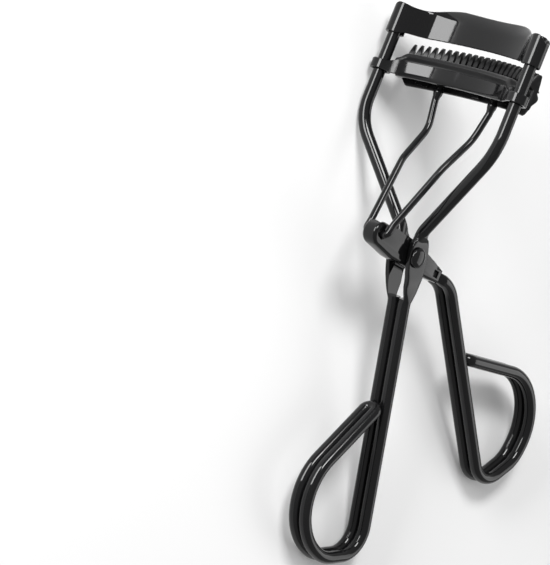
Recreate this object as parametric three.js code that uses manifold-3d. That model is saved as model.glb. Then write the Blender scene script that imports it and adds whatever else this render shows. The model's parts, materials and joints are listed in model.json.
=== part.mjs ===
// Hand eyelash curler with a lash comb: a bent-wire frame, a fixed upper clamp, a jaw that slides up the
// guide rods, a U-shaped link wire, and a lever that turns on a rivet.
//
// Tool frame, millimetres: the origin is on the pivot axis in the plane of symmetry, +X runs across the
// head, +Y points away from the eye (the side to which the clamps bulge) and +Z runs up the guide rods.
// At the end the whole tool is laid on its -X side, as it lies on a table.
import * as THREE from "three";
import { mergeVertices } from "three/addons/utils/BufferGeometryUtils.js";
import Module from "manifold-3d";

const wasm = await Module();
wasm.setup();

// ---- driving dimensions ----------------------------------------------------------------------------
const GAP = 0.3; // clearance between separate pieces
const THICK_WIRE = 1.25; // radius of the frame and handle wire
const THIN_WIRE = 0.7; // radius of the link wire
const PAIR_X = 1.29; // half the distance between the two wires of a handle
const SHEET = 0.6; // thickness of the stamped plates

const ROD_X = 17.03; // half the distance between the guide rods
const ROD_Y = -7.6;
const ROD_TOP_Z = 46.2;
const BEND_Z = 22.4; // where the rods bend inwards towards the pivot
const BEND_RADIUS = 11;

const ARC_RADIUS = 27.5; // the clamps' curve, which runs through both rod axes
const ARC_CENTRE_Y = ROD_Y - Math.sqrt(ARC_RADIUS ** 2 - ROD_X ** 2);
const ROD_ANGLE = Math.asin(ROD_X / ARC_RADIUS);

const EAR_IN = 1.95; // the flattened ears lie between these two distances from the middle
const EAR_OUT = 3.0;
const EAR_RADIUS = 2.75;
const RIVET_RADIUS = 0.95;
const RIVET_HEAD = 2.05;
const DOME = 0.95;

const BRACKET_OUT = 1.7; // half the width of the lever bracket
const CRANK = { y: -11.0, z: 0.84 }; // the hole that the link wire crosses
const CRANK_END = 2.4; // radius of the bracket round that hole
const LINK_LEG_X = 2.75;

const LINK_TOP_X = 6.8; // where the link wire enters the jaw's flange
const LINK_TOP_RADIUS = 29.35; // its distance from the clamps' centre line
const LINK_HOLE = 1.05;

const CLAMP_LOW = 40.35; // edges at the rods; each edge rises towards the middle
const SLEEVE_TOP = 46.5;
const WALL_LOW = 31.75;
const WALL_HIGH = 34.8;
const PAD_TOP = 36.9;
const COMB_LOW = 31.6;
const COMB_HIGH = 37.7;
const TOOTH_TIP = 40.2;
const CLAMP_RISE = 0.37; // how steeply the edges rise with the depth of the curve
const JAW_RISE = 0.3;

const REST_PITCH = THREE.MathUtils.degToRad(8.879); // how the tool tips when it lies on a table
const REST_ROLL = THREE.MathUtils.degToRad(-6.304);

const WIRE_SIDES = 12;
const THIN_SIDES = 10;
const BEND_STEP = THREE.MathUtils.degToRad(13);

// ---- materials ---------------------------------------------------------------------------------------
const paint = (color, roughness, metalness) =>
  new THREE.MeshStandardMaterial({ color, roughness, metalness });
const enamel = () => paint(0x0b0b0c, 0.22, 0.35);
const rubber = () => paint(0x141415, 0.75, 0.0);
const plastic = () => paint(0x1d1e20, 0.55, 0.0);

// ---- helpers -----------------------------------------------------------------------------------------
const vec = (x, y, z) => new THREE.Vector3(x, y, z);

function solid(geometry) {
  const bare = geometry.clone();
  bare.deleteAttribute("normal");
  bare.deleteAttribute("uv");
  const merged = mergeVertices(bare, 1e-4);
  return new wasm.Manifold(
    new wasm.Mesh({
      numProp: 3,
      vertProperties: new Float32Array(merged.attributes.position.array),
      triVerts: new Uint32Array(merged.index.array),
    }),
  );
}

function piece(name, body, material) {
  const made = body.getMesh();
  const geometry = new THREE.BufferGeometry();
  geometry.setAttribute("position", new THREE.BufferAttribute(made.vertProperties, 3));
  geometry.setIndex(new THREE.BufferAttribute(made.triVerts, 1));
  geometry.computeVertexNormals();
  const mesh = new THREE.Mesh(geometry, material);
  mesh.name = name;
  return mesh;
}

const join = (bodies) => bodies.reduce((all, body) => all.add(body));
const mirrorX = (body) => body.mirror([1, 0, 0]);

const shapeOf = (points) => new THREE.Shape(points.map(([a, b]) => new THREE.Vector2(a, b)));

function extruded(shape, depth, curveSegments = 8) {
  return new THREE.ExtrudeGeometry(shape, { depth, bevelEnabled: false, curveSegments });
}

// An outline in X, Y, extruded from one height to another.
function plan(shape, low, high, curveSegments = 8) {
  return solid(extruded(shape, high - low, curveSegments).translate(0, 0, low));
}

// An outline in Y, Z, extruded across the head from one X to another.
function sideways(shape, from, to, curveSegments = 8) {
  const axes = new THREE.Matrix4().makeBasis(vec(0, 1, 0), vec(0, 0, 1), vec(1, 0, 0));
  return solid(extruded(shape, to - from, curveSegments).applyMatrix4(axes).translate(from, 0, 0));
}

// An outline in X, Z, extruded right through the head along Y.
function frontal(shape) {
  const axes = new THREE.Matrix4().makeBasis(vec(1, 0, 0), vec(0, 0, 1), vec(0, -1, 0));
  const depth = 40;
  return solid(extruded(shape, depth).applyMatrix4(axes).translate(0, depth / 2, 0));
}

function block(x0, x1, y0, y1, z0, z1) {
  const box = new THREE.BoxGeometry(x1 - x0, y1 - y0, z1 - z0);
  return solid(box.translate((x0 + x1) / 2, (y0 + y1) / 2, (z0 + z1) / 2));
}

function round(radius, length, sides) {
  return new THREE.CylinderGeometry(radius, radius, length, sides);
}

function uprightRod(x, y, radius, low, high, sides = 24) {
  const rod = round(radius, high - low, sides).rotateX(Math.PI / 2);
  return solid(rod.translate(x, y, (low + high) / 2));
}

function crossRod(y, z, radius, from, to, sides = 20) {
  const rod = round(radius, to - from, sides).rotateZ(Math.PI / 2);
  return solid(rod.translate((from + to) / 2, y, z));
}

// A band of the clamps' curve between two radii, out to an angle on each side of the middle.
function band(inner, outer, angle, low, high, steps = 28) {
  const edge = (radius, from, to) =>
    Array.from({ length: steps + 1 }, (_, i) => {
      const a = from + ((to - from) * i) / steps;
      return [radius * Math.sin(a), ARC_CENTRE_Y + radius * Math.cos(a)];
    });
  return plan(shapeOf([...edge(inner, -angle, angle), ...edge(outer, angle, -angle)]), low, high);
}

// How much higher an edge lies at this distance from the middle than it does at the rods.
function rise(x, slope) {
  const inside = Math.max(ARC_RADIUS ** 2 - x * x, 0);
  return slope * (ARC_CENTRE_Y + Math.sqrt(inside) - ROD_Y);
}

// A frontal outline between two edges, each given as a height for every X.
function edgeCut(lowEdge, highEdge, reach = 20, steps = 32) {
  const xs = Array.from({ length: steps + 1 }, (_, i) => -reach + (2 * reach * i) / steps);
  const low = xs.map((x) => [x, lowEdge(x)]);
  const high = xs.map((x) => [x, highEdge(x)]).reverse();
  return frontal(shapeOf([...low, ...high]));
}

const onArc = (radius, angle) => [radius * Math.sin(angle), ARC_CENTRE_Y + radius * Math.cos(angle)];

// A section of radius and height carried right round the clamps' centre line. It runs anticlockwise.
function turned(section, sides = 168) {
  const closed = [...section, section[0]].map(([r, h]) => new THREE.Vector2(r, h));
  const ring = new THREE.LatheGeometry(closed, sides).rotateX(Math.PI / 2);
  return solid(ring.translate(0, ARC_CENTRE_Y, 0));
}

// A path of straight runs joined by round bends. Its stations lie only where the path turns.
class BentPath extends THREE.Curve {
  constructor(corners) {
    super();
    this.stations = [];
    const first = corners[0].at;
    this.addStation(first, corners[1].at.clone().sub(first));
    for (let i = 1; i < corners.length - 1; i++) {
      this.addBend(corners[i - 1].at, corners[i].at, corners[i + 1].at, corners[i].bend);
    }
    const last = corners[corners.length - 1].at;
    this.addStation(last, last.clone().sub(corners[corners.length - 2].at));
  }

  addStation(point, tangent) {
    this.stations.push({ point, tangent: tangent.clone().normalize() });
  }

  addBend(before, corner, after, bend) {
    const arrive = corner.clone().sub(before).normalize();
    const leave = after.clone().sub(corner).normalize();
    const turn = arrive.angleTo(leave);
    const setback = bend * Math.tan(turn / 2);
    const start = corner.clone().addScaledVector(arrive, -setback);
    const inward = leave.clone().addScaledVector(arrive, -Math.cos(turn)).normalize();
    const steps = Math.max(2, Math.ceil(turn / BEND_STEP));
    for (let k = 0; k <= steps; k++) {
      const a = (turn * k) / steps;
      const point = start.clone().addScaledVector(arrive, bend * Math.sin(a));
      point.addScaledVector(inward, bend * (1 - Math.cos(a)));
      const tangent = arrive.clone().multiplyScalar(Math.cos(a)).addScaledVector(inward, Math.sin(a));
      this.addStation(point, tangent);
    }
  }

  station(u) {
    return this.stations[Math.round(u * (this.stations.length - 1))];
  }

  getPointAt(u) {
    return this.station(u).point.clone();
  }

  getTangentAt(u) {
    return this.station(u).tangent.clone();
  }
}

function wire(corners, radius, sides) {
  const path = new BentPath(corners);
  const section = Array.from({ length: sides }, (_, i) => {
    const a = (2 * Math.PI * i) / sides;
    return [radius * Math.cos(a), radius * Math.sin(a)];
  });
  return solid(
    new THREE.ExtrudeGeometry(shapeOf(section), { steps: path.stations.length - 1, extrudePath: path }),
  );
}

// ---- handles -----------------------------------------------------------------------------------------
// Both handles share one outline. Along the handle is u, measured from the pivot; w is the distance from
// the handle's straight run towards the side on which the finger loop lies.
const frameLine = { along: [0.3277, -0.9448], side: [-0.9448, -0.3277], offset: -0.7 };
const leverLine = { along: [0.7198, -0.6942], side: [0.6942, 0.7198], offset: 9.79 };

function handlePoint(line, x, u, w) {
  const across = w + line.offset;
  const y = line.along[0] * u + line.side[0] * across;
  const z = line.along[1] * u + line.side[1] * across;
  return vec(x, y, z);
}

// The finger loop: round the bottom, up the far side and back to the handle, where the two wires join.
const LOOP = [
  { u: 60.5, w: 0, bend: 5.7 },
  { u: 60.4, w: 11.3, bend: 8.1 },
  { u: 50.1, w: 27.0, bend: 11.3 },
];
const LOOP_TIP = { u: 31.5, w: 3.4 };

function loopCorners(line, x) {
  const corners = LOOP.map((c) => ({ at: handlePoint(line, x, c.u, c.w), bend: c.bend }));
  const last = LOOP[LOOP.length - 1];
  const du = LOOP_TIP.u - last.u;
  const dw = LOOP_TIP.w - last.w;
  const over = PAIR_X / Math.hypot(du, dw);
  const tip = handlePoint(line, x, LOOP_TIP.u + du * over, LOOP_TIP.w + dw * over);
  corners.push({ at: tip, bend: PAIR_X * 0.999 });
  return corners;
}

// A whole wire: the given run on the +X side, the finger loop, and the same again on the -X side.
function pairedWire(lead, line) {
  const right = [...lead, ...loopCorners(line, PAIR_X)];
  const left = right.map((c) => ({ at: c.at.clone().multiply(vec(-1, 1, 1)), bend: c.bend })).reverse();
  return wire([...right, ...left], THICK_WIRE, WIRE_SIDES);
}

// ---- frame wire: two guide rods, two flattened ears, the frame's handle and its finger loop ------------
function earOutline() {
  const corners = [
    [-4.8, 1.2],
    [-1.6, 2.7],
    [2.0, 2.7],
    [8.6, 1.2],
    [8.6, -1.2],
    [2.4, -2.1],
    [-1.6, -1.9],
    [-4.8, -1.2],
  ];
  return shapeOf(
    corners.map(([u, w]) => {
      const p = handlePoint(frameLine, 0, u, w);
      return [p.y, p.z];
    }),
  );
}

function handleBox(line, u0, u1, reach) {
  const corners = [
    [u0, -reach],
    [u1, -reach],
    [u1, reach],
    [u0, reach],
  ];
  return shapeOf(
    corners.map(([u, w]) => {
      const p = handlePoint(line, 0, u, w);
      return [p.y, p.z];
    }),
  );
}

function frameWire() {
  const earX = (EAR_IN + EAR_OUT) / 2;
  const lead = [
    { at: vec(ROD_X, ROD_Y, ROD_TOP_Z) },
    { at: vec(ROD_X, ROD_Y, BEND_Z), bend: BEND_RADIUS },
    { at: handlePoint(frameLine, earX, -4.7, 0), bend: 4 },
    { at: handlePoint(frameLine, earX, 4.5, 0), bend: 6 },
    { at: handlePoint(frameLine, PAIR_X, 9.5, 0), bend: 6 },
  ];
  const whole = pairedWire(lead, frameLine);
  const slot = sideways(handleBox(frameLine, -7, 8.6, 5), -EAR_IN, EAR_IN);
  const pressed = sideways(handleBox(frameLine, -4.2, 6.5, 5), EAR_OUT, EAR_OUT + 3);
  const ear = sideways(earOutline(), EAR_IN, EAR_OUT).add(crossRod(0, 0, EAR_RADIUS, EAR_IN, EAR_OUT, 28));
  const bore = crossRod(0, 0, RIVET_RADIUS + 0.15, -5, 5);
  const flattened = whole.subtract(join([slot, pressed, mirrorX(pressed)]));
  return join([flattened, ear, mirrorX(ear)]).subtract(bore);
}

// ---- upper clamp: curved plate whose ends are rolled into sleeves over the rod tips --------------------
const SLEEVE_IN = THICK_WIRE + 0.12;
const SLEEVE_OUT = SLEEVE_IN + 0.5;
const WING_ANGLE = THREE.MathUtils.degToRad(24); // from here the plate bends in to the eye side of the rods
const CROWN = 49.25;
const SCALLOP = 46.35;

// The plate's section: upright, with a lip that leans away from the eye.
const PLATE_LINE = [
  [0, 38],
  [0, 47.1],
  [0.3, 47.5],
  [0.9, 48.2],
  [1.35, 49.0],
  [1.6, 50.0],
];

// The top edge: a raised middle, a shallow scallop beside each sleeve.
function clampTop(x) {
  const fall = THREE.MathUtils.smoothstep(Math.abs(x), 6.5, 15);
  const back = THREE.MathUtils.smoothstep(Math.abs(x), 15, 16.8);
  return CROWN + (SCALLOP - CROWN) * fall + (SLEEVE_TOP - SCALLOP) * back;
}

// The end of the plate in plan, from the curve to the front of the sleeve.
function wing(low, high, steps = 10) {
  const depth = (SLEEVE_IN + SLEEVE_OUT) / 2;
  const edge = (offset) =>
    Array.from({ length: steps + 1 }, (_, i) => {
      const t = i / steps;
      const radius = ARC_RADIUS + offset - depth * THREE.MathUtils.smoothstep(t, 0, 1);
      return onArc(radius, WING_ANGLE - 0.01 + (ROD_ANGLE - WING_ANGLE + 0.01) * t);
    });
  return plan(shapeOf([...edge(-SHEET / 2), ...edge(SHEET / 2).reverse()]), low, high);
}

function upperClamp() {
  const front = PLATE_LINE.map(([lean, z]) => [ARC_RADIUS - SHEET / 2 + lean, z]);
  const back = PLATE_LINE.map(([lean, z]) => [ARC_RADIUS + SHEET / 2 + lean, z]);
  const sector = band(ARC_RADIUS - 3, ARC_RADIUS + 4, WING_ANGLE, 36, 54);
  const middle = turned([...back, ...front.reverse()]).intersect(sector);
  const right = wing(38, 52);
  const plate = join([middle, right, mirrorX(right)]);
  const trimmed = plate.intersect(edgeCut((x) => CLAMP_LOW + rise(x, CLAMP_RISE), clampTop));
  const sleeves = [-1, 1].map((side) => {
    const tube = uprightRod(side * ROD_X, ROD_Y, SLEEVE_OUT, CLAMP_LOW, SLEEVE_TOP);
    const corner = shapeOf([
      [side * (ROD_X + 0.6), SLEEVE_TOP + 0.1],
      [side * (ROD_X + 2.4), SLEEVE_TOP - 2.0],
      [side * (ROD_X + 2.4), SLEEVE_TOP + 0.1],
    ]);
    return tube.subtract(frontal(corner));
  });
  const bores = [-1, 1].map((side) => uprightRod(side * ROD_X, ROD_Y, SLEEVE_IN, 30, 55));
  return trimmed.add(join(sleeves)).subtract(join(bores));
}

// ---- jaw: front wall, flange, three lugs and a collar round each rod ----------------------------------
const WALL_IN = 25.1;
const FLANGE_OUT = 30.7;
const CREASE_RADIUS = 32.9; // the comb's outer face is bent outwards along its middle
const COLLAR_IN = THICK_WIRE + 0.25;
const COLLAR_OUT = COLLAR_IN + SHEET;
const COLLAR_LOW = 32.5;
const COLLAR_HIGH = 34.5;
const LUG_ANGLES = [-22, 0, 22].map((a) => THREE.MathUtils.degToRad(a));
const LUG_WIDTH = 3.2;
const LUG_TOP = 36.2;
const WINDOW_Z = 35.0; // middle of the comb's windows, measured at the rods

function linkTop() {
  const y = ARC_CENTRE_Y + Math.sqrt(LINK_TOP_RADIUS ** 2 - LINK_TOP_X ** 2);
  return vec(LINK_TOP_X, y, WALL_LOW + rise(LINK_TOP_X, JAW_RISE));
}

// A block on the curve, turned to face outwards at an angle from the middle.
function radialBlock(angle, width, inner, outer, low, high) {
  const box = new THREE.BoxGeometry(width, outer - inner, high - low);
  box.translate(0, (inner + outer) / 2, (low + high) / 2);
  return solid(box.rotateZ(-angle).translate(0, ARC_CENTRE_Y, 0));
}

function jaw() {
  const wallEnd = ROD_ANGLE - 0.01;
  const low = (x) => WALL_LOW + rise(x, JAW_RISE);
  const wall = band(WALL_IN, WALL_IN + SHEET, wallEnd, 28, 40).intersect(
    edgeCut(low, (x) => WALL_HIGH + rise(x, JAW_RISE)),
  );
  const flangeEnd = Math.asin(14.3 / ARC_RADIUS);
  const flange = band(WALL_IN + 0.1, FLANGE_OUT, flangeEnd, 28, 40).intersect(
    edgeCut(low, (x) => low(x) + SHEET),
  );
  const lugs = LUG_ANGLES.map((angle) => {
    const lift = rise(ARC_RADIUS * Math.sin(angle), JAW_RISE);
    const inner = FLANGE_OUT - SHEET;
    const upright = radialBlock(angle, LUG_WIDTH, inner, FLANGE_OUT, WALL_LOW + 0.1 + lift, LUG_TOP + lift);
    const [bossLow, bossHigh] = [WINDOW_Z - 0.7 + lift, WINDOW_Z + 0.7 + lift];
    const boss = radialBlock(angle, 1.8, inner + 0.1, CREASE_RADIUS + 0.2, bossLow, bossHigh);
    return upright.add(boss);
  });
  const collars = [-1, 1].map((side) =>
    uprightRod(side * ROD_X, ROD_Y, COLLAR_OUT, COLLAR_LOW, COLLAR_HIGH),
  );
  const bores = [-1, 1].map((side) => uprightRod(side * ROD_X, ROD_Y, COLLAR_IN, 20, 50));
  const top = linkTop();
  const holes = [-1, 1].map((side) => uprightRod(side * top.x, top.y, LINK_HOLE, top.z - 2, top.z + 3, 20));
  return wall.add(flange).add(join(lugs)).add(join(collars)).subtract(join(bores)).subtract(join(holes));
}

// ---- pad: rubber strip in the jaw, directly under the clamp's edge -------------------------------------
function pad() {
  const inner = WALL_IN + SHEET + GAP;
  const outer = 28.2;
  const end = Math.asin(15.0 / ARC_RADIUS);
  const strip = band(inner, outer, end, 28, 42);
  const low = (x) => WALL_LOW + SHEET + GAP + rise(x, JAW_RISE);
  const high = (x) => {
    const tip = THREE.MathUtils.smoothstep(Math.abs(x), 12.5, 15.4);
    return PAD_TOP + rise(x, JAW_RISE) - 1.1 * tip * tip;
  };
  return strip.intersect(edgeCut(low, high, 20, 64));
}

// ---- comb: curved strip behind the jaw with windows for the lugs and a row of teeth --------------------
const COMB_IN = FLANGE_OUT + GAP;
const COMB_OUT = COMB_IN + 1.2;
const COMB_END = THREE.MathUtils.degToRad(30.2);
const TOOTH_COUNT = 24;
const TOOTH_SPAN = THREE.MathUtils.degToRad(29.55); // angle of the last tooth on each side
const TOOTH_IN = COMB_IN - 0.8;
const TOOTH_WIDTH = 0.75;

// One tooth in radius and height: upright outside, rounded over towards the eye.
function toothShape(base, shoulder, tip) {
  return shapeOf([
    [COMB_IN + 0.1, base],
    [COMB_OUT - 0.1, base],
    [COMB_OUT - 0.25, tip - 0.3],
    [COMB_OUT - 0.5, tip],
    [COMB_IN + 0.3, tip - 0.1],
    [COMB_IN - 0.15, tip - 0.5],
    [COMB_IN - 0.5, tip - 1.15],
    [TOOTH_IN + 0.05, tip - 1.9],
    [TOOTH_IN, shoulder],
  ]);
}

function tooth(angle) {
  const x = COMB_OUT * Math.sin(angle);
  const shoulder = COMB_HIGH + 0.1 + rise(x, JAW_RISE);
  const shape = toothShape(shoulder - 0.8, shoulder, TOOTH_TIP + rise(x, CLAMP_RISE));
  const upright = sideways(shape, -TOOTH_WIDTH / 2, TOOTH_WIDTH / 2);
  return upright.rotate([0, 0, THREE.MathUtils.radToDeg(-angle)]).translate([0, ARC_CENTRE_Y, 0]);
}

function comb() {
  const low = (x) => {
    const tip = THREE.MathUtils.smoothstep(Math.abs(x), 14.4, 16.2);
    return COMB_LOW + rise(x, JAW_RISE) + 1.4 * tip * tip;
  };
  const high = (x) => COMB_HIGH + rise(x, JAW_RISE);
  const section = turned([
    [COMB_IN, 30],
    [COMB_OUT - 0.4, 30],
    [COMB_OUT - 0.2, COMB_LOW + 1],
    [CREASE_RADIUS, WINDOW_Z + 0.6],
    [COMB_OUT + 0.1, COMB_HIGH + 0.6],
    [COMB_OUT + 0.1, COMB_HIGH + 4],
    [COMB_IN, COMB_HIGH + 4],
  ]);
  const sector = band(COMB_IN - 1, CREASE_RADIUS + 1, COMB_END, 28, 44);
  const strip = section.intersect(sector).intersect(edgeCut(low, high, 20, 80));
  const windows = LUG_ANGLES.map((angle) => {
    const lift = rise(ARC_RADIUS * Math.sin(angle), JAW_RISE);
    return radialBlock(angle, 2.9, COMB_IN - 1, COMB_OUT + 2, WINDOW_Z - 1.3 + lift, WINDOW_Z + 1.3 + lift);
  });
  const teeth = Array.from({ length: TOOTH_COUNT }, (_, i) => {
    return tooth(TOOTH_SPAN * ((2 * i) / (TOOTH_COUNT - 1) - 1));
  });
  return join([strip.subtract(join(windows)), ...teeth]);
}

// ---- link wire: one wire across the lever's two holes, both ends up to the jaw --------------------------
function linkWire() {
  const top = linkTop();
  const tipZ = top.z + SHEET + 0.75;
  const right = [
    { at: vec(top.x, top.y, tipZ) },
    { at: vec(top.x, top.y, top.z - 2.4), bend: 2 },
    { at: vec(5.6, -0.85, 25.0), bend: 7 },
    { at: vec(5.0, -5.63, 17.1), bend: 9 },
    { at: vec(LINK_LEG_X, -10.4, 3.2), bend: 4 },
    { at: vec(LINK_LEG_X, CRANK.y, CRANK.z), bend: 0.9 },
  ];
  const left = right.map((c) => ({ at: c.at.clone().multiply(vec(-1, 1, 1)), bend: c.bend })).reverse();
  const bent = wire([...right, ...left], THIN_WIRE, THIN_SIDES);
  const ends = [-1, 1].map((side) => {
    const shoulder = uprightRod(side * top.x, top.y, 0.95, top.z - 1.6, top.z - 0.3, 16);
    const head = uprightRod(side * top.x, top.y, 0.85, top.z + SHEET + 0.35, tipZ + 0.05, 16);
    return shoulder.add(head);
  });
  return bent.add(join(ends));
}

// ---- lever bracket: channel with its web below, closed round the crank end ------------------------------
const ARM_END = 10.9;

function bracketOutline(inset) {
  const r = CRANK_END - inset;
  const shape = new THREE.Shape();
  shape.moveTo(CRANK.y, CRANK.z + r);
  shape.absarc(CRANK.y, CRANK.z, r, Math.PI / 2, Math.PI * 1.46, false);
  shape.lineTo(-5.9, -2.4 + inset);
  shape.lineTo(4.5, -2.5 + inset);
  shape.lineTo(ARM_END, -2.25 + inset);
  shape.lineTo(ARM_END, 0.45);
  shape.lineTo(3.8, 2.15);
  shape.lineTo(-3.0, 3.1);
  shape.closePath();
  return shape;
}

function leverBracket() {
  const inside = BRACKET_OUT - SHEET;
  const whole = sideways(bracketOutline(0), -BRACKET_OUT, BRACKET_OUT, 12);
  const hollow = new THREE.Shape();
  const r = CRANK_END - SHEET;
  hollow.moveTo(CRANK.y - r, CRANK.z + 6);
  hollow.lineTo(CRANK.y - r, CRANK.z);
  hollow.absarc(CRANK.y, CRANK.z, r, Math.PI, Math.PI * 1.46, false);
  hollow.lineTo(-5.9, -2.4 + SHEET);
  hollow.lineTo(4.5, -2.5 + SHEET);
  hollow.lineTo(ARM_END + 1, -2.25 + SHEET);
  hollow.lineTo(ARM_END + 1, CRANK.z + 6);
  hollow.closePath();
  const channel = whole.subtract(sideways(hollow, -inside, inside, 12));
  const crankHole = crossRod(CRANK.y, CRANK.z, 1.0, -4, 4);
  const pivotHole = crossRod(0, 0, RIVET_RADIUS + 0.15, -4, 4);
  const crimpHole = block(-4, 4, 8.5, 10.0, -1.45, 0.05);
  return channel.subtract(crankHole).subtract(pivotHole).subtract(crimpHole);
}

// ---- lever handle: wire pair with flattened ends inside the bracket --------------------------------------
function leverHandle() {
  const armZ = (y) => 0.1 - 0.095 * y;
  const start = ARM_END + GAP;
  const lead = [
    { at: vec(PAIR_X, start, armZ(start)) },
    { at: handlePoint(leverLine, PAIR_X, 12.14, 0), bend: 7 },
  ];
  const tang = shapeOf([
    [4.6, -1.3],
    [start + 0.6, -1.35],
    [start + 0.6, -0.1],
    [4.6, 0.7],
  ]);
  const tangX = BRACKET_OUT - SHEET - 0.15;
  return pairedWire(lead, leverLine).add(sideways(tang, -tangX, tangX));
}

// ---- pivot rivet ------------------------------------------------------------------------------------------
function pivotRivet() {
  const seat = EAR_OUT + 0.1;
  const steps = 5;
  const dome = Array.from({ length: steps }, (_, i) => {
    const a = (Math.PI / 2) * (i / steps);
    return [RIVET_HEAD * Math.cos(a), seat + DOME * Math.sin(a)];
  });
  const half = [[RIVET_RADIUS, seat], ...dome, [0, seat + DOME]];
  const other = half.map(([r, h]) => [r, -h]).reverse();
  const profile = [...other, ...half].map(([r, h]) => new THREE.Vector2(r, h));
  return solid(new THREE.LatheGeometry(profile, 24).rotateZ(-Math.PI / 2));
}

// ---- assembly --------------------------------------------------------------------------------------
const tool = new THREE.Group();
tool.add(
  piece("frame_wire", frameWire(), enamel()),
  piece("upper_clamp", upperClamp(), enamel()),
  piece("pivot_rivet", pivotRivet(), enamel()),
  piece("lower_jaw", jaw(), enamel()),
  piece("silicone_pad", pad(), rubber()),
  piece("lash_comb", comb(), plastic()),
  piece("link_wire", linkWire(), enamel()),
  piece("lever_bracket", leverBracket(), enamel()),
  piece("lever_handle", leverHandle(), enamel()),
);

// Laid on its -X side: the tool's +X becomes up, its head points to -X and its bulging side to +Y.
tool.quaternion.setFromRotationMatrix(
  new THREE.Matrix4().makeBasis(vec(0, 0, 1), vec(0, 1, 0), vec(-1, 0, 0)),
);

// It rests on both finger loops and on the bend of one guide rod, so it is tipped until these three
// touch the table, and then centred over the origin.
const eyelashCurler = new THREE.Group();
eyelashCurler.add(tool);
eyelashCurler.rotation.set(REST_ROLL, REST_PITCH, 0);
const bounds = new THREE.Box3().setFromObject(eyelashCurler, true);
const centre = bounds.getCenter(vec(0, 0, 0));
eyelashCurler.position.set(-centre.x, -centre.y, -bounds.min.z);

export default eyelashCurler;
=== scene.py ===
import json
import math

import bmesh
import bpy
from mathutils import Matrix, Vector


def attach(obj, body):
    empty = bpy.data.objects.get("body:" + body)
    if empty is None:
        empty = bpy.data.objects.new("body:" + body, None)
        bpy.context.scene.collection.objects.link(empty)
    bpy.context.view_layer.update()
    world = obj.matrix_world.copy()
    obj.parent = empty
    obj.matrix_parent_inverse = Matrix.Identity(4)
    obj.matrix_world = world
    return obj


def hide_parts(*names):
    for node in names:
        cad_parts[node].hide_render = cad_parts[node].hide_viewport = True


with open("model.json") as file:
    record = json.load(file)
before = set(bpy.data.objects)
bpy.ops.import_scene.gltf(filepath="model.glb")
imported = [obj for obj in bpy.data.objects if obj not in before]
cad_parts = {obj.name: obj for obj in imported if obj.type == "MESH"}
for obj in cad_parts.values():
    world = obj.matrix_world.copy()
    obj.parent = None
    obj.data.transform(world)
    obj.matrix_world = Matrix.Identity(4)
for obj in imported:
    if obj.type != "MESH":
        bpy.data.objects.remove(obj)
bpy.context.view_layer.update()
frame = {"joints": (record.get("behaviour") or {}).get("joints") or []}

# ---- the tool's own frame ----------------------------------------------------------------------------
# Origin on the pivot axis, X across the head, Y away from the eye, Z up the guide rods, in millimetres.
joints = {j["name"]: j for j in frame["joints"]}
AX = -Vector(joints["lever_pivot"]["axis"]).normalized()
AZ = Vector(joints["jaw_slide"]["axis"]).normalized()
AY = AZ.cross(AX).normalized()
TURN = Matrix((AX, AY, AZ)).transposed()
ORIGIN = Vector(joints["lever_pivot"]["pos_m"])
TOOL = Matrix.Translation(ORIGIN) @ TURN.to_4x4() @ Matrix.Scale(0.001, 4)

THICK = 1.25  # radius of the frame's and the lever's wire
THIN = 0.7  # radius of the link wire
PAIR_X = 1.29  # the two strands of a handle lie this far either side of the middle
SHEET = 0.6  # thickness of the pressed sheet pieces
ROD_X, ROD_Y = 17.03, -7.6
ARC_R = 27.5  # the head's pieces follow arcs about (0, ARC_Y)
ARC_Y = ROD_Y - math.sqrt(ARC_R**2 - ROD_X**2)
ROD_ANGLE = math.asin(ROD_X / ARC_R)


def smooth(x, a, b):
    t = min(max((x - a) / (b - a), 0.0), 1.0)
    return t * t * (3 - 2 * t)


def rise(x, slope):
    return slope * (ARC_Y + math.sqrt(max(ARC_R**2 - x * x, 0)) - ROD_Y)


def on_arc(r, a, z=0.0, across=0.0):
    """A point at a radius and an angle from the middle of the head, moved sideways along the arc."""
    sin, cos = math.sin(a), math.cos(a)
    return Vector((r * sin + across * cos, ARC_Y + r * cos - across * sin, z))


# ---- mesh helpers ------------------------------------------------------------------------------------
def loft(rings, cap=True):
    """Vertices and faces of a skin over equal rings of points."""
    n = len(rings[0])
    verts = [p for ring in rings for p in ring]
    faces = []
    m = len(rings)
    for i in range(m - 1):
        a, b = i * n, (i + 1) * n
        for k in range(n):
            k2 = (k + 1) % n
            faces.append((a + k, a + k2, b + k2, b + k))
    if cap:
        faces.append(tuple(range(n - 1, -1, -1)))
        faces.append(tuple(range((m - 1) * n, m * n)))
    return verts, faces


def mirrored(part):
    """The part and its mirror image across the middle plane."""
    verts, faces = part
    flip = [Vector((-p.x, p.y, p.z)) for p in verts]
    n = len(verts)
    return verts + flip, faces + [tuple(n + k for k in reversed(f)) for f in faces]


def joined(*parts):
    verts, faces = [], []
    for v, f in parts:
        n = len(verts)
        verts += v
        faces += [tuple(n + k for k in face) for face in f]
    return verts, faces


def mesh_object(name, part, material=None, sharp=35, weld=1e-4):
    verts, faces = part
    mesh = bpy.data.meshes.new(name)
    mesh.from_pydata([tuple(v) for v in verts], [], faces)
    bm = bmesh.new()
    bm.from_mesh(mesh)
    bmesh.ops.remove_doubles(bm, verts=bm.verts, dist=weld)
    bmesh.ops.recalc_face_normals(bm, faces=bm.faces)
    bm.to_mesh(mesh)
    bm.free()
    obj = bpy.data.objects.new(name, mesh)
    bpy.context.scene.collection.objects.link(obj)
    if material:
        mesh.materials.append(material)
    shade(obj, sharp)
    return obj


def shade(obj, sharp=35):
    mesh = obj.data
    mesh.polygons.foreach_set("use_smooth", [True] * len(mesh.polygons))
    mesh.set_sharp_from_angle(angle=math.radians(sharp))


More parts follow.
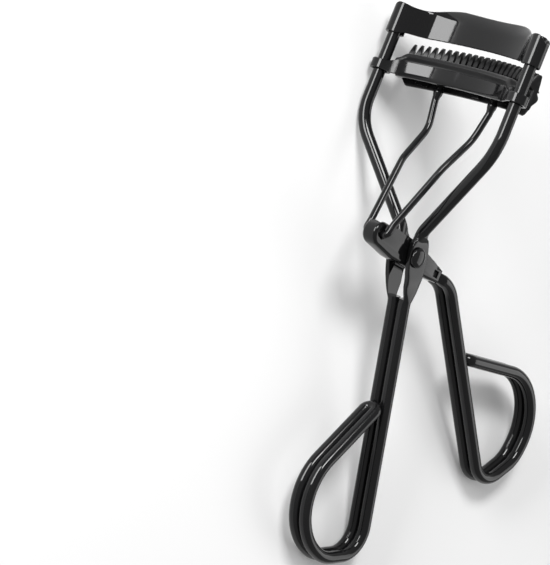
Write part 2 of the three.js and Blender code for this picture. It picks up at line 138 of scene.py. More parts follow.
def bake(obj):
    """Applies the modifiers to the mesh."""
    dg = bpy.context.evaluated_depsgraph_get()
    mesh = bpy.data.meshes.new_from_object(obj.evaluated_get(dg))
    old = obj.data
    obj.modifiers.clear()
    obj.data = mesh
    bpy.data.meshes.remove(old)


def cut(obj, cutter):
    m = obj.modifiers.new("cut", "BOOLEAN")
    m.object = cutter
    m.operation = "DIFFERENCE"
    m.solver = "EXACT"
    bake(obj)
    bpy.data.objects.remove(cutter)


def bevel(obj, width, segments, angle):
    m = obj.modifiers.new("bevel", "BEVEL")
    m.width = width
    m.segments = segments
    m.limit_method = "ANGLE"
    m.angle_limit = math.radians(angle)
    m.harden_normals = False
    bake(obj)


def place(obj, body, node):
    """Moves a piece from the tool's frame to the row frame and hangs it on its CAD body."""
    obj.data.transform(TOOL)
    obj.data.update()
    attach(obj, body)
    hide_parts(node)


# ---- wires -------------------------------------------------------------------------------------------
def bent_path(corners, step):
    """Stations (point, tangent) along straight runs joined by round bends."""
    arc_step = math.radians(5)
    stations = []

    def straight(a, b):
        d = (b - a).length
        if d < 1e-6:
            return
        t = (b - a) / d
        k = max(1, int(d / step))
        for i in range(k + 1):
            stations.append((a.lerp(b, i / k), t))

    at = corners[0][0]
    for i in range(1, len(corners) - 1):
        p, bend = corners[i]
        arrive = (p - corners[i - 1][0]).normalized()
        leave = (corners[i + 1][0] - p).normalized()
        turn = arrive.angle(leave)
        if turn < 1e-4:
            continue
        back = bend * math.tan(turn / 2)
        start = p - arrive * back
        straight(at, start)
        inward = (leave - arrive * math.cos(turn)).normalized()
        k = max(3, math.ceil(turn / arc_step))
        for j in range(1, k + 1):
            a = turn * j / k
            q = start + arrive * bend * math.sin(a) + inward * bend * (1 - math.cos(a))
            stations.append((q, arrive * math.cos(a) + inward * math.sin(a)))
        at = stations[-1][0]
    straight(at, corners[-1][0])
    clean = [stations[0]]
    for s in stations[1:]:
        if (s[0] - clean[-1][0]).length > 1e-3:
            clean.append(s)
    return clean


def swept(stations, section, sides=40):
    """A tube whose section (half width, half height, squareness) comes from section(point)."""
    rings = []
    normal = None
    for p, t in stations:
        side = Vector((1, 0, 0)) - t * t.x
        if side.length > 0.55 or normal is None:
            normal = side.normalized()
        else:
            normal = (normal - t * normal.dot(t)).normalized()
        up = t.cross(normal)
        a, b, n = section(p)
        ring = []
        for k in range(sides):
            f = 2 * math.pi * k / sides
            c, s = math.cos(f), math.sin(f)
            ring.append(
                p
                + normal * (a * math.copysign(abs(c) ** (2 / n), c))
                + up * (b * math.copysign(abs(s) ** (2 / n), s))
            )
        rings.append(ring)
    return rings


def tip_rings(ring, centre, t, radius):
    """Extra rings that round off the edge at the end of a wire."""
    out = []
    for shrink, ahead in ((0.985, 0.10), (0.93, 0.2), (0.84, 0.26)):
        out.append([centre + (q - centre) * shrink + t * ahead * radius for q in ring])
    return out


def keyed(keys, u):
    """Values at u, eased between rows of (u, values...)."""
    if u <= keys[0][0]:
        return keys[0][1:]
    for (u0, *v0), (u1, *v1) in zip(keys, keys[1:]):
        if u <= u1:
            f = smooth(u, u0, u1)
            return tuple(x + (y - x) * f for x, y in zip(v0, v1))
    return keys[-1][1:]


# A handle's straight line in the side view: direction, sideways direction and offset.
FRAME_LINE = ((0.3277, -0.9448), (-0.9448, -0.3277), -0.7)
LEVER_LINE = ((0.7198, -0.6942), (0.6942, 0.7198), 9.79)


def handle_point(line, x, u, w):
    """A point u along a handle and w to its side."""
    ahead, side, offset = line
    v = w + offset
    return Vector((x, ahead[0] * u + side[0] * v, ahead[1] * u + side[1] * v))


def along(line, p):
    return p.y * line[0][0] + p.z * line[0][1]


# Corners of the finger loop (along, to the side, bend radius) and the end of the wire pair.
LOOP = [(60.5, 0.0, 5.7), (60.4, 11.3, 8.1), (50.1, 27.0, 11.3)]
LOOP_TIP = (31.5, 3.4)


def half_handle(lead, line):
    """Corners of the +X half of a bent wire, down the handle and round the loop to its middle."""
    corners = list(lead)
    for u, w, bend in LOOP:
        corners.append((handle_point(line, PAIR_X, u, w), bend))
    du, dw = LOOP_TIP[0] - LOOP[-1][0], LOOP_TIP[1] - LOOP[-1][1]
    over = PAIR_X / math.hypot(du, dw)
    u, w = LOOP_TIP[0] + du * over, LOOP_TIP[1] + dw * over
    corners.append((handle_point(line, PAIR_X, u, w), PAIR_X * 0.995))
    corners.append((handle_point(line, 0.0, u, w), 0))
    return corners


ROUND = (THICK, THICK, 2.0)
EAR_IN = 1.95  # the flattened ears leave this much room either side of the middle for the lever
# Section of the frame's wire along the ears: (place, half width, half height, squareness).
EAR_KEYS = [
    (-5.2, THICK, THICK, 2.0),
    (-3.9, 0.95, 1.55, 3.0),
    (-2.9, 0.56, 2.45, 7.0),
    (-0.6, 0.525, 2.72, 10.0),
    (1.4, 0.525, 2.70, 10.0),
    (5.6, 0.62, 2.05, 7.0),
    (9.2, THICK, THICK, 2.0),
]


def frame_section(p):
    u = along(FRAME_LINE, p)
    if p.z > 8 or u > 12:
        return ROUND
    return keyed(EAR_KEYS, u)


def build_frame_wire(material):
    ear_x = 2.475
    lead = [
        (Vector((ROD_X, ROD_Y, 46.1)), 0),
        (Vector((ROD_X, ROD_Y, 22.4)), 11),
        (handle_point(FRAME_LINE, ear_x, -4.7, 0), 4),
        (handle_point(FRAME_LINE, ear_x, 4.5, 0), 6),
        (handle_point(FRAME_LINE, PAIR_X, 9.5, 0), 6),
    ]
    stations = bent_path(half_handle(lead, FRAME_LINE), step=0.9)
    rings = swept(stations, frame_section)
    p, t = stations[0]
    rings = list(reversed(tip_rings(rings[0], p, -t, THICK))) + rings
    verts, faces = loft(rings, cap=False)
    faces.append(tuple(range(len(rings[0]))))
    obj = mesh_object("frame_wire_bent", mirrored((verts, faces)), material, sharp=50, weld=2e-3)
    corners = [handle_point(FRAME_LINE, 0, u, w) for u, w in ((-7, -5), (8.6, -5), (8.6, 5), (-7, 5))]
    room = mesh_object("lever_room", slab([(c.y, c.z) for c in corners], (-EAR_IN, EAR_IN)))
    cut(obj, room)
    shade(obj, 50)
    return obj


def build_lever_handle(material):
    start = 4.4

    def arm(y):
        return 0.1 - 0.095 * y

    keys = [
        (4.0, 0.52, 0.85, 6.0),
        (9.6, 0.52, 0.92, 6.0),
        (11.6, 0.95, 1.1, 2.6),
        (12.8, THICK, THICK, 2.0),
    ]

    def section(p):
        if p.y > 13 or p.z < -6:
            return ROUND
        return keyed(keys, p.y)

    lead = [
        (Vector((0.53, start, arm(start))), 0),
        (Vector((0.53, 9.6, arm(9.6))), 3),
        (Vector((PAIR_X, 12.4, arm(12.4))), 3),
        (handle_point(LEVER_LINE, PAIR_X, 12.3, 0), 7),
    ]
    stations = bent_path(half_handle(lead, LEVER_LINE), step=0.9)
    rings = swept(stations, section)
    p, t = stations[0]
    rings = list(reversed(tip_rings(rings[0], p, -t, 0.6))) + rings
    verts, faces = loft(rings, cap=False)
    faces.append(tuple(range(len(rings[0]))))
    return mesh_object("lever_wire_bent", mirrored((verts, faces)), material, sharp=50, weld=2e-3)


LINK_TOP_X, LINK_TOP_R = 6.8, 29.35
JAW_LOW = 31.75
JAW_RISE, CLAMP_RISE = 0.3, 0.37  # how steeply the jaw's and the clamp's edges rise to the middle
CRANK = (-11.0, 0.84)  # the link's lower pivot in the side view


def link_top():
    y = ARC_Y + math.sqrt(LINK_TOP_R**2 - LINK_TOP_X**2)
    return Vector((LINK_TOP_X, y, JAW_LOW + rise(LINK_TOP_X, JAW_RISE)))


def bore(name, radius, reach, centre, axis, sides):
    """A cylinder to cut with."""
    profile = [(0.01, -reach), (radius, -reach), (radius, reach), (0.01, reach)]
    return mesh_object(name, lathe(profile, centre, axis, sides))


def lathe(profile, centre, axis="Z", sides=32):
    """Closed turned piece: profile of (radius, height) that starts and ends on the axis."""
    rings = []
    for r, h in profile:
        ring = []
        for k in range(sides):
            f = 2 * math.pi * k / sides
            c, s = r * math.cos(f), r * math.sin(f)
            v = Vector((c, s, h)) if axis == "Z" else Vector((h, c, s))
            ring.append(centre + v)
        rings.append(ring)
    return loft(rings)


def build_link_wire(material):
    top = link_top()
    corners = [
        (Vector((top.x, top.y, top.z + 1.0)), 0),
        (Vector((top.x, top.y, top.z - 2.4)), 2),
        (Vector((5.6, -0.85, 25.0)), 7),
        (Vector((5.0, -5.63, 17.1)), 9),
        (Vector((2.75, -10.4, 3.2)), 4),
        (Vector((2.75, CRANK[0], CRANK[1])), 0.95),
        (Vector((0, CRANK[0], CRANK[1])), 0),
    ]
    stations = bent_path(corners, step=0.9)
    rings = swept(stations, lambda p: (THIN, THIN, 2.0), sides=24)
    verts, faces = loft(rings, cap=False)
    faces.append(tuple(range(24)))
    swell = [(0.05, -2.4), (0.7, -2.3), (0.76, -1.7), (0.9, -1.3)]
    swell += [(0.97, -0.9), (0.97, -0.5), (0.9, -0.33), (0.05, -0.3)]
    shoulder = lathe(swell, top, sides=28)
    dome = [(0.05, 0.92), (0.78, 0.95), (0.86, 1.03), (0.84, 1.2), (0.68, 1.34), (0.4, 1.4), (0.02, 1.42)]
    head = lathe(dome, top, sides=28)
    half = joined((verts, faces), shoulder, head)
    return mesh_object("link_wire_bent", mirrored(half), material, sharp=50, weld=1e-3)


# ---- rivet -------------------------------------------------------------------------------------------
def build_rivet(material):
    seat = 3.07  # the heads' undersides, from the middle
    head = [(0.98, seat), (1.9, seat), (2.02, seat + 0.09), (2.05, seat + 0.2), (2.0, seat + 0.32)]
    for i in range(1, 10):
        a = math.pi / 2 * i / 10
        head.append((2.0 * math.cos(a), seat + 0.32 + 0.68 * math.sin(a)))
    head.append((0.01, seat + 1.0))
    half = [(0.94, seat - 0.01)] + head
    whole = [(r, -h) for r, h in reversed(half)] + half
    turned = lathe(whole, Vector((0, 0, 0)), axis="X", sides=48)
    return mesh_object("rivet_domed", turned, material, sharp=50)


# ---- bracket -----------------------------------------------------------------------------------------
BRACKET_X, CRANK_R, ARM_END = 1.7, 2.4, 10.9


def bracket_profile(inset):
    """Outline of the lever bracket in the side view; the web and the round end move in by inset."""
    cy, cz = CRANK
    r = CRANK_R - inset
    pts = []
    first = math.pi / 2
    last = math.pi * 1.46
    for i in range(19):
        a = first + (last - first) * i / 18
        pts.append((cy + r * math.cos(a), cz + r * math.sin(a)))
    for y, z in ((-5.9, -2.4), (-0.7, -2.47), (4.5, -2.5), (7.7, -2.42), (ARM_END, -2.25)):
        pts.append((y, z + inset))
    pts += [(ARM_END, 0.45), (7.4, 1.35), (3.8, 2.15), (0.4, 2.75), (-3.0, 3.1), (-7.4, 3.22)]
    return pts


def slab(profile, xs):
    """An outline in the side view, drawn out across the tool."""
    return loft([[Vector((x, y, z)) for y, z in profile] for x in xs])


def build_bracket(material):
    bend = 0.75
    half = []
    for i in range(7):
        a = math.pi / 2 * i / 6
        half.append((BRACKET_X - bend + bend * math.sin(a), bend * (1 - math.cos(a))))
    rings = []
    for x, inset in [(-x, i) for x, i in reversed(half)] + half:
        rings.append([Vector((x, y, z)) for y, z in bracket_profile(inset)])
    whole = mesh_object("bracket_channel", loft(rings), material)
    inside = BRACKET_X - SHEET
    cy, cz = CRANK
    r = CRANK_R - SHEET
    hollow = [(cy - r, 9.0)]
    for i in range(13):
        a = math.pi + math.pi * 0.46 * i / 12
        hollow.append((cy + r * math.cos(a), cz + r * math.sin(a)))
    hollow += [(-5.9, -1.8), (4.5, -1.9), (ARM_END + 2, -1.62), (ARM_END + 2, 9.0)]
    inner = mesh_object("hollow", slab(hollow, (-inside, inside)))
    crank = bore("crank_bore", 1.0, 4, Vector((0, cy, cz)), "X", 32)
    pivot = bore("pivot_bore", 1.1, 4, Vector((0, 0, 0)), "X", 32)
    opening = [(8.45, -1.4), (10.0, -1.45), (10.0, 0.0), (8.45, 0.05)]
    window = mesh_object("window", slab(opening, (-4, 4)))
    cut(whole, inner)
    cut(whole, crank)
    cut(whole, pivot)
    cut(whole, window)
    bevel(whole, 0.11, 3, 40)
    shade(whole, 40)
    return whole


# ---- upper clamp -------------------------------------------------------------------------------------
CLAMP_LOW, SLEEVE_TOP = 40.35, 46.5
CROWN, SCALLOP = 49.25, 46.35  # the upper edge in the middle and where it dips beside the sleeves
ROLL_R = 1.62  # radius of the roll round a rod, to the middle of the sheet
WING = math.radians(24)


def clamp_top(x):
    fall = smooth(abs(x), 6.5, 15.0)
    back = smooth(abs(x), 15.0, 16.8)
    top = CROWN + (SCALLOP - CROWN) * fall + (SLEEVE_TOP - SCALLOP) * back
    corner = max(abs(x) - ROD_X - 0.3, 0) / 1.6
    return top - 1.7 * corner**1.6


def clamp_low(x):
    middle = CLAMP_LOW + rise(min(abs(x), ROD_X), CLAMP_RISE)
    t = smooth(abs(x), 14.4, 15.9)
    return middle * (1 - t) + CLAMP_LOW * t


def clamp_centreline():
    """Plan of the clamp's sheet, +X half: the curve, a bend in to the eye side of the rod, and the roll."""
    pts = []
    for i in range(41):
        p = on_arc(ARC_R, WING * i / 40)
        pts.append(Vector((p.x, p.y)))
    for i in range(1, 17):
        t = i / 16
        p = on_arc(ARC_R - ROLL_R * smooth(t, 0, 1), WING + (ROD_ANGLE - WING) * t)
        pts.append(Vector((p.x, p.y)))
    centre = Vector((ROD_X, ROD_Y))
    out = Vector((math.sin(ROD_ANGLE), math.cos(ROD_ANGLE)))
    across = Vector((math.cos(ROD_ANGLE), -math.sin(ROD_ANGLE)))
    for i in range(1, 65):
        a = math.radians(284) * i / 64
        pts.append(centre - out * ROLL_R * math.cos(a) + across * ROLL_R * math.sin(a))
    return pts


def normals_2d(pts):
    out = []
    for i, p in enumerate(pts):
        a = pts[max(i - 1, 0)]
        b = pts[min(i + 1, len(pts) - 1)]
        t = (b - a).normalized()
        out.append(Vector((-t.y, t.x)))
    return out


def clamp_rings():
    """Sections of the clamp's sheet, which stands on edge; its back is to the left of the path."""
    pts = clamp_centreline()
    rings = []
    h = SHEET / 2
    corner = 0.1
    rows = 24
    for p, n in zip(pts, normals_2d(pts)):
        z0, z1 = clamp_low(p.x), clamp_top(p.x)
        profile = [(-h + corner, z0), (-h, z0 + corner)]
        for k in range(1, rows):
            profile.append((-h, z0 + corner + (z1 - z0 - 2 * corner) * k / rows))
        profile += [(-h, z1 - corner), (-h + corner, z1), (h - corner, z1), (h, z1 - corner)]
        for k in range(rows - 1, 0, -1):
            profile.append((h, z0 + corner + (z1 - z0 - 2 * corner) * k / rows))
        profile += [(h, z0 + corner), (h - corner, z0)]
        ring = []
        for off, z in profile:
            q = p + n * (off + clamp_lean(p.x, z))
            ring.append(Vector((q.x, q.y, z)))
        rings.append(ring)
    return rings


# The lip's side view: (height, how far it leans back).
LIP = [(46.2, 0.0), (46.7, 0.04), (47.2, 0.15), (47.7, 0.32)]
LIP += [(48.2, 0.55), (48.7, 0.84), (49.2, 1.18), (50.0, 1.8)]


def clamp_lean(x, z):
    """How far the clamp's upper lip leans back: it fades out towards the sleeves."""
    lean = 0.0
    for (z0, l0), (z1, l1) in zip(LIP, LIP[1:]):
        if z0 < z <= z1:
            lean = l0 + (l1 - l0) * (z - z0) / (z1 - z0)
    wide = 1 + 0.5 * smooth(abs(x), 4.0, 10.0)
    return lean * wide * (1 - smooth(abs(x), 12.5, 15.5))


def build_upper_clamp(material):
    rings = clamp_rings()
    n = len(rings[0])
    verts, faces = loft(rings, cap=False)
    faces.append(tuple(range((len(rings) - 1) * n, len(rings) * n)))
    return mesh_object("upper_clamp_sheet", mirrored((verts, faces)), material, sharp=40, weld=1e-3)


# ---- jaw ---------------------------------------------------------------------------------------------
WALL_MID = 25.4  # radius of the wall, to the middle of the sheet
FLANGE_OUT = 30.7
CREASE_R = 32.9  # the comb's face is furthest out at its crease
COLLAR_R = 1.85
COLLAR_LOW, COLLAR_HIGH = 32.55, 34.45
JAW_END_X = 14.5  # the channel gives way to the narrower ends here


def jaw_low(x):
    return JAW_LOW + rise(min(abs(x), ROD_X), JAW_RISE)


def jaw_high(x):
    return 34.8 + rise(min(abs(x), ROD_X), JAW_RISE)


def jaw_section(a):
    """Section of the bent channel at an angle: wall, rounded corner and flange."""
    x = ARC_R * math.sin(a)
    z0, z1 = jaw_low(x), jaw_high(x)
    rin = WALL_MID - SHEET / 2
    bend = 0.8
    tilt = 0.12 * (FLANGE_OUT - rin - bend)
    prof = [(rin + 0.1, z1), (rin, z1 - 0.1)]
    for k in range(7):
        f = math.pi / 2 * k / 6
        prof.append((rin + bend - bend * math.cos(f), z0 + bend - bend * math.sin(f)))
    prof += [(FLANGE_OUT - 0.1, z0 + tilt), (FLANGE_OUT, z0 + tilt + 0.1)]
    prof += [(FLANGE_OUT, z0 + tilt + SHEET - 0.1), (FLANGE_OUT - 0.1, z0 + tilt + SHEET)]
    inner = bend - SHEET
    for k in range(5):
        f = math.pi / 2 * (1 - k / 4)
        prof.append((rin + bend - inner * math.cos(f), z0 + bend - inner * math.sin(f)))
    prof += [(rin + SHEET, z1 - 0.1), (rin + SHEET - 0.1, z1)]
    return [on_arc(r, a, z) for r, z in prof]


def jaw_end(start):
    """The wall's +X end, which narrows and rolls round the rod as a collar."""
    pts = []
    for i in range(17):
        a = start + (ROD_ANGLE - start) * i / 16
        r = WALL_MID + (ARC_R - COLLAR_R - WALL_MID) * smooth(i / 16, 0, 1)
        p = on_arc(r, a)
        pts.append(Vector((p.x, p.y)))
    centre = Vector((ROD_X, ROD_Y))
    out = Vector((math.sin(ROD_ANGLE), math.cos(ROD_ANGLE)))
    across = Vector((math.cos(ROD_ANGLE), -math.sin(ROD_ANGLE)))
    turn = math.radians(296)
    for i in range(1, 37):
        a = turn * i / 36
        pts.append(centre - out * COLLAR_R * math.cos(a) + across * COLLAR_R * math.sin(a))
    rings = []
    h = SHEET / 2
    c = 0.1
    for i, (p, n) in enumerate(zip(pts, normals_2d(pts))):
        t = smooth(i, 2, 15)
        x = min(p.x, JAW_END_X)
        z0 = jaw_low(x) * (1 - t) + COLLAR_LOW * t
        z1 = jaw_high(x) * (1 - t) + COLLAR_HIGH * t
        middle = (z0 + z1) / 2
        prof = [(-h + c, z0), (-h, z0 + c), (-h, middle), (-h, z1 - c), (-h + c, z1)]
        prof += [(h - c, z1), (h, z1 - c), (h, middle), (h, z0 + c), (h - c, z0)]
        rings.append([Vector((*(p + n * o), z)) for o, z in prof])
    return loft(rings)


def jaw_lug(a):
    """An upright lug on the flange's outer edge, and its snap boss, which hold the comb."""
    lift = rise(ARC_R * math.sin(a), JAW_RISE)
    upright = ((FLANGE_OUT - SHEET, 0.0), (FLANGE_OUT - 0.1, 0.0), (FLANGE_OUT, 0.08))
    boss = ((FLANGE_OUT - 0.1, 0.0), (CREASE_R + 0.05, 0.0), (CREASE_R + 0.15, 0.08))
    return joined(
        rounded_block(a, 3.2, JAW_LOW + 0.05 + lift, 36.2 + lift, 0.35, upright),
        rounded_block(a, 1.7, 34.3 + lift, 35.7 + lift, 0.25, boss),
    )


def build_jaw(material):
    end = math.asin(14.2 / ARC_R)
    steps = 60
    rings = [jaw_section(-end + 2 * end * i / steps) for i in range(steps + 1)]
    channel = mesh_object("jaw_channel", loft(rings), material, sharp=40)
    top = link_top()
    for side in (-1, 1):
        cut(channel, bore("hole", 1.05, 3, Vector((side * top.x, top.y, top.z)), "Z", 24))
    lugs = [jaw_lug(math.radians(deg)) for deg in LUGS]
    pieces = joined(mirrored(jaw_end(end - 0.02)), *lugs)
    ends = mesh_object("jaw_ends", pieces, material, sharp=40, weld=1e-4)
    return merged(channel, ends)


def merged(a, b):
    """Takes the second object's mesh into the first."""
    bm = bmesh.new()
    bm.from_mesh(a.data)
    bm.from_mesh(b.data)
    bm.to_mesh(a.data)
    bm.free()
    bpy.data.objects.remove(b)
    shade(a, 40)
    return a


# ---- pad ---------------------------------------------------------------------------------------------
PAD_TOP = 36.9


def pad_section(a):
    """Section of the pad at an angle: a block with a soft bead along its top."""
    x = ARC_R * math.sin(a)
    tip = smooth(abs(x), 12.6, 15.0)
    z0 = JAW_LOW + SHEET + 0.3 + rise(x, JAW_RISE)
    z1 = PAD_TOP + rise(x, JAW_RISE) - 1.3 * tip * tip
    r0 = 25.1 + SHEET + 0.05
    r1 = 28.2
    bulge = 0.42 * (1 - tip)
    zc = z1 - 0.75
    prof = [(r0 + 0.02, z0 + 0.2), (r0 + 0.2, z0), (r1 - 0.2, z0), (r1, z0 + 0.2), (r1, zc - 0.6)]
    for k in range(13):
        f = math.pi * k / 12
        prof.append(((r0 + r1) / 2 + (r1 - r0) / 2 * math.cos(f), zc + 0.75 * math.sin(f) ** 0.8))
    # the bead stands a little proud of the wall in front, over a shallow groove
    prof += [(r0 - bulge * 0.8, zc - 0.28), (r0 - bulge * 0.55, zc - 0.6)]
    prof += [(r0 + 0.02, zc - 0.86), (r0 + 0.02, zc - 1.2)]
    return [on_arc(r, a, z) for r, z in prof]


def build_pad(material):
    end = math.asin(15.0 / ARC_R)
    steps = 96
    rings = [pad_section(-end + 2 * end * i / steps) for i in range(steps + 1)]
    ends = ((0.88, 0.18), (0.6, 0.3))
    head = [shrunk(rings[0], k, -end, -ahead) for k, ahead in reversed(ends)]
    tail = [shrunk(rings[-1], k, end, ahead) for k, ahead in ends]
    return mesh_object("pad_moulded", loft(head + rings + tail), material, sharp=50)


# ---- comb --------------------------------------------------------------------------------------------
COMB_IN, COMB_OUT = FLANGE_OUT + 0.3, FLANGE_OUT + 1.5
COMB_END, TOOTH_SPAN = math.radians(30.2), math.radians(29.55)
COMB_LOW, COMB_HIGH, TOOTH_TIP = 31.6, 37.7, 40.2
COMB_CREASE = 35.6
TEETH, TOOTH_WIDTH = 24, 1.1
LUGS = (-22, 0, 22)  # degrees from the middle


def comb_edges(x):
    tip = smooth(abs(x), 14.4, 16.2)
    low = COMB_LOW + rise(x, JAW_RISE) + 1.4 * tip * tip
    high = COMB_HIGH + rise(x, JAW_RISE) - 0.5 * tip * tip
    return low, high


def comb_section(a):
    """Section of the strip at an angle: its outer face is bent outwards along the middle."""
    z0, z1 = comb_edges(COMB_OUT * math.sin(a))
    crease = COMB_CREASE + rise(COMB_OUT * math.sin(a), JAW_RISE)
    r0, r1 = COMB_IN, COMB_OUT
    prof = [(r0, z0 + 0.12), (r0 + 0.12, z0), (r1 - 0.42, z0), (r1 - 0.25, z0 + 0.18), (r1 - 0.18, z0 + 0.9)]
    prof += [(CREASE_R - 0.2, crease - 0.6), (CREASE_R - 0.04, crease - 0.2)]
    prof += [(CREASE_R - 0.02, crease + 0.15), (CREASE_R - 0.14, crease + 0.5)]
    prof += [(r1 + 0.08, z1 - 0.45), (r1 + 0.03, z1 - 0.12), (r1 - 0.1, z1), (r0 + 0.12, z1), (r0, z1 - 0.12)]
    return [on_arc(r, a, z) for r, z in prof]


def shrunk(ring, k, a, ahead):
    """A ring drawn in towards its middle and moved along the curve, to round off an end."""
    c = sum(ring, Vector()) / len(ring)
    t = Vector((math.cos(a), -math.sin(a), 0))
    return [c + (q - c) * k + t * ahead for q in ring]


def rounded_block(a, w, lo, hi, c, radii):
    """A block with rounded corners that faces outwards at an angle; radii lists (radius, inset)."""
    outline = []
    for sx, sz, f0 in ((1, 1, 0), (-1, 1, 90), (-1, -1, 180), (1, -1, 270)):
        for k in range(4):
            f = math.radians(f0 + 30 * k)
            corner_z = hi - c if sz > 0 else lo + c
            outline.append((sx * (w / 2 - c) + c * math.cos(f), corner_z + c * math.sin(f)))
    middle = (lo + hi) / 2
    rings = []
    for r, inset in radii:
        ring = []
        for u, z in outline:
            narrower = u * (1 - 2 * inset / w)
            lower = middle + (z - middle) * (1 - 2 * inset / (hi - lo))
            ring.append(on_arc(r, a, lower, narrower))
        rings.append(ring)
    return loft(rings)


def tooth_outline(a):
    """Side view of one tooth and the rib below it: upright outside, rounded over towards the eye."""
    x = COMB_OUT * math.sin(a)
    z0, z1 = comb_edges(x)
    tip = TOOTH_TIP + rise(x, CLAMP_RISE)
    crease = COMB_CREASE + rise(x, JAW_RISE)
    shoulder = z1 + 0.05
    pts = []
    for k in range(13):
        f = math.pi / 2 * k / 12
        pts.append((COMB_OUT - 0.42 - 1.6 * math.cos(f) ** 0.9, shoulder + (tip - shoulder) * math.sin(f)))
    pts += [(COMB_OUT - 0.24, tip - 0.08), (COMB_OUT - 0.12, tip - 0.35)]
    pts += [(COMB_OUT - 0.02, (tip + z1) / 2), (COMB_OUT + 0.12, z1 - 0.1)]
    over_lug = min(abs(abs(math.degrees(a)) - d) for d in (0, 22)) < 3.4
    if over_lug or abs(math.degrees(a)) > 27.5:
        pts += [(CREASE_R - 0.32, crease + 1.25), (COMB_OUT - 0.1, crease + 1.2)]
    else:
        pts += [(CREASE_R - 0.02, crease + 0.55), (CREASE_R + 0.08, crease), (CREASE_R - 0.05, crease - 0.5)]
        pts += [(COMB_OUT, z0 + 1.4), (COMB_OUT - 0.3, z0 + 1.0)]
    pts += [(COMB_IN + 0.25, crease + 1.0), (COMB_IN + 0.2, shoulder - 0.6), (COMB_IN - 0.7, shoulder - 0.12)]
    return pts


def fin(a, width):
    """One tooth: its outline as a thin plate with softened edges, thinner at the tip."""
    outline = tooth_outline(a)
    cr = sum(r for r, _ in outline) / len(outline)
    cz = sum(z for _, z in outline) / len(outline)
    top = max(z for _, z in outline)
    rings = []
    edge = width / 2
    for off, inset in ((-edge, 0.14), (-edge + 0.11, 0.0), (edge - 0.11, 0.0), (edge, 0.14)):
        ring = []
        for r, z in outline:
            v = Vector((r - cr, z - cz))
            v = v * (1 - inset / max(v.length, 0.6))
            thinner = off * (1 - 0.5 * smooth(z, top - 2.4, top))
            ring.append(on_arc(cr + v.x, a, cz + v.y, thinner))
        rings.append(ring)
    return loft(rings)


def build_comb(material):
    steps = 120
    rings = [comb_section(-COMB_END + 2 * COMB_END * i / steps) for i in range(steps + 1)]
    ends = ((0.93, 0.12), (0.78, 0.22))
    head = [shrunk(rings[0], k, -COMB_END, -ahead) for k, ahead in reversed(ends)]
    tail = [shrunk(rings[-1], k, COMB_END, ahead) for k, ahead in ends]
    strip = mesh_object("comb_strip", loft(head + rings + tail), material, sharp=40)
    for deg in LUGS:
        a = math.radians(deg)
        lift = rise(ARC_R * math.sin(a), JAW_RISE)
        through = ((COMB_IN - 1, 0.0), (CREASE_R + 1, 0.0))
        hole = rounded_block(a, 2.8, 33.75 + lift, 36.25 + lift, 0.3, through)
        cut(strip, mesh_object("window", hole))
    parts = []
    for i in range(TEETH):
        a = TOOTH_SPAN * (2 * i / (TEETH - 1) - 1)
        parts.append(fin(a, TOOTH_WIDTH))
    teeth = mesh_object("comb_teeth", joined(*parts), material, sharp=40, weld=1e-5)
    return merged(strip, teeth)


# ---- materials ---------------------------------------------------------------------------------------
def coated(name, base, light, roughness, spread, grain, bump, specular, wear=0.0):
    """Procedural finish: colour mottling, uneven gloss, a fine surface grain and lighter worn edges."""
    mat = bpy.data.materials.new(name)
    mat.use_nodes = True
    nt = mat.node_tree
    nodes, links = nt.nodes, nt.links
    shader = nodes["Principled BSDF"]
    shader.inputs["Specular IOR Level"].default_value = specular
    coords = nodes.new("ShaderNodeTexCoord")
    large = nodes.new("ShaderNodeTexNoise")
    large.inputs["Scale"].default_value = 55
    large.inputs["Detail"].default_value = 5
    links.new(coords.outputs["Object"], large.inputs["Vector"])
    fine = nodes.new("ShaderNodeTexNoise")
    fine.inputs["Scale"].default_value = grain
    fine.inputs["Detail"].default_value = 4
    links.new(coords.outputs["Object"], fine.inputs["Vector"])
    tint = nodes.new("ShaderNodeMix")
    tint.data_type = "RGBA"
    tint.inputs["A"].default_value = (*base, 1)
    tint.inputs["B"].default_value = (*light, 1)
    links.new(large.outputs["Fac"], tint.inputs["Factor"])
    colour = tint.outputs["Result"]
    if wear:
        geo = nodes.new("ShaderNodeNewGeometry")
        edge = nodes.new("ShaderNodeMapRange")
        edge.inputs["From Min"].default_value = 0.56
        edge.inputs["From Max"].default_value = 0.72
        links.new(geo.outputs["Pointiness"], edge.inputs["Value"])
        rub = nodes.new("ShaderNodeMath")
        rub.operation = "MULTIPLY"
        links.new(edge.outputs["Result"], rub.inputs[0])
        links.new(fine.outputs["Fac"], rub.inputs[1])
        amount = nodes.new("ShaderNodeMath")
        amount.operation = "MULTIPLY"
        amount.inputs[1].default_value = wear
        links.new(rub.outputs["Value"], amount.inputs[0])
        worn = nodes.new("ShaderNodeMix")
        worn.data_type = "RGBA"
        worn.inputs["B"].default_value = (0.09, 0.09, 0.095, 1)
        links.new(colour, worn.inputs["A"])
        links.new(amount.outputs["Value"], worn.inputs["Factor"])
        colour = worn.outputs["Result"]
    links.new(colour, shader.inputs["Base Color"])
    gloss = nodes.new("ShaderNodeMapRange")
    gloss.inputs["To Min"].default_value = roughness - spread
    gloss.inputs["To Max"].default_value = roughness + spread
    links.new(large.outputs["Fac"], gloss.inputs["Value"])
    links.new(gloss.outputs["Result"], shader.inputs["Roughness"])
    relief = nodes.new("ShaderNodeBump")
    relief.inputs["Strength"].default_value = bump
    relief.inputs["Distance"].default_value = 0.00004
    links.new(fine.outputs["Fac"], relief.inputs["Height"])
    links.new(relief.outputs["Normal"], shader.inputs["Normal"])
    return mat


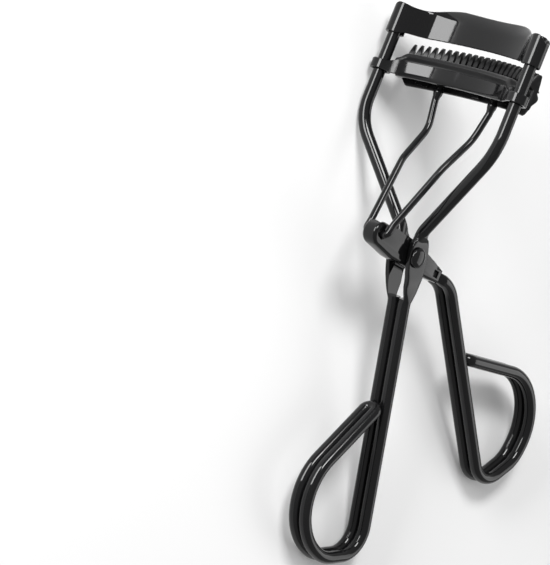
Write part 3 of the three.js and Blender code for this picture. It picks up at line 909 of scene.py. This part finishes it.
enamel = coated(
    "black_enamel", (0.0035, 0.0035, 0.0037), (0.006, 0.006, 0.0064),
    roughness=0.07, spread=0.02, grain=900, bump=0.08, specular=0.3, wear=0.25,
)
rubber = coated(
    "black_silicone", (0.004, 0.004, 0.0042), (0.007, 0.007, 0.0074),
    roughness=0.42, spread=0.06, grain=2600, bump=0.35, specular=0.25,
)
plastic = coated(
    "black_comb_plastic", (0.004, 0.0041, 0.0043), (0.007, 0.0071, 0.0075),
    roughness=0.38, spread=0.07, grain=2200, bump=0.3, specular=0.25, wear=0.2,
)

place(build_frame_wire(enamel), "frame", "frame_wire")
place(build_upper_clamp(enamel), "frame", "upper_clamp")
place(build_rivet(enamel), "frame", "pivot_rivet")
place(build_bracket(enamel), "lever", "lever_bracket")
place(build_lever_handle(enamel), "lever", "lever_handle")
place(build_link_wire(enamel), "link", "link_wire")
place(build_jaw(enamel), "jaw", "lower_jaw")
place(build_pad(rubber), "jaw", "silicone_pad")
place(build_comb(plastic), "jaw", "lash_comb")

# ---- floor, light, camera ----------------------------------------------------------------------------
FLOOR_HALF = 6.0
floor_corners = [(x * FLOOR_HALF, y * FLOOR_HALF, 0) for x, y in ((-1, -1), (1, -1), (1, 1), (-1, 1))]
floor_mesh = bpy.data.meshes.new("floor")
floor_mesh.from_pydata(floor_corners, [], [(0, 1, 2, 3)])
floor = bpy.data.objects.new("floor", floor_mesh)
bpy.context.scene.collection.objects.link(floor)
floor_mat = bpy.data.materials.new("floor_pale")
floor_mat.use_nodes = True
floor_shader = floor_mat.node_tree.nodes["Principled BSDF"]
floor_shader.inputs["Specular IOR Level"].default_value = 0.0
floor_shader.inputs["Roughness"].default_value = 0.9
floor_shader.inputs["Base Color"].default_value = (0.8, 0.8, 0.8, 1)
floor_mesh.materials.append(floor_mat)

world = bpy.data.worlds.new("studio")
bpy.context.scene.world = world
world.use_nodes = True
surround = world.node_tree.nodes["Background"]
surround.inputs["Color"].default_value = (1, 1, 1, 1)
surround.inputs["Strength"].default_value = 0.4

# The eye and its directions in the tool's frame, and the lens in widths of the picture.
EYE = Vector((365.75, -473.18, -66.3))
RIGHT = Vector((0.73364, 0.56834, 0.37252))
DOWN = Vector((0.23633, 0.30058, -0.92401))
AHEAD = Vector((-0.63712, 0.76593, 0.0862))
FOCAL = 3096.41 / 550
camera_data = bpy.data.cameras.new("camera")
camera_data.sensor_fit = "HORIZONTAL"
camera_data.sensor_width = 36
camera_data.lens = camera_data.sensor_width * FOCAL
camera_data.clip_start, camera_data.clip_end = 0.01, 20
camera = bpy.data.objects.new("camera", camera_data)
bpy.context.scene.collection.objects.link(camera)
view = Matrix((TURN @ RIGHT, TURN @ -DOWN, TURN @ -AHEAD)).transposed().to_4x4()
camera.matrix_world = Matrix.Translation(TOOL @ EYE) @ view
bpy.context.scene.camera = camera


def area(name, at, aim, size, radiance):
    """A soft box: at, aim and size in metres, in the row frame."""
    data = bpy.data.lights.new(name, "AREA")
    data.shape = "RECTANGLE"
    data.size, data.size_y = size
    data.energy = radiance * math.pi * size[0] * size[1]
    lamp = bpy.data.objects.new(name, data)
    bpy.context.scene.collection.objects.link(lamp)
    at, aim = Vector(at), Vector(aim)
    turn = (at - aim).to_track_quat("Z", "Y").to_matrix().to_4x4()
    lamp.matrix_world = Matrix.Translation(at) @ turn
    lamp.visible_camera = False


MIDDLE = (0.0, 0.0, 0.015)
area("key_box", (-0.34, -0.30, 0.44), MIDDLE, (0.24, 0.16), 24)
area("front_box", (-0.18, -0.55, 0.13), MIDDLE, (0.35, 0.22), 16)
area("back_box", (-0.05, 0.50, 0.36), MIDDLE, (0.50, 0.34), 2)
bpy.context.scene.view_settings.view_transform = "Standard"
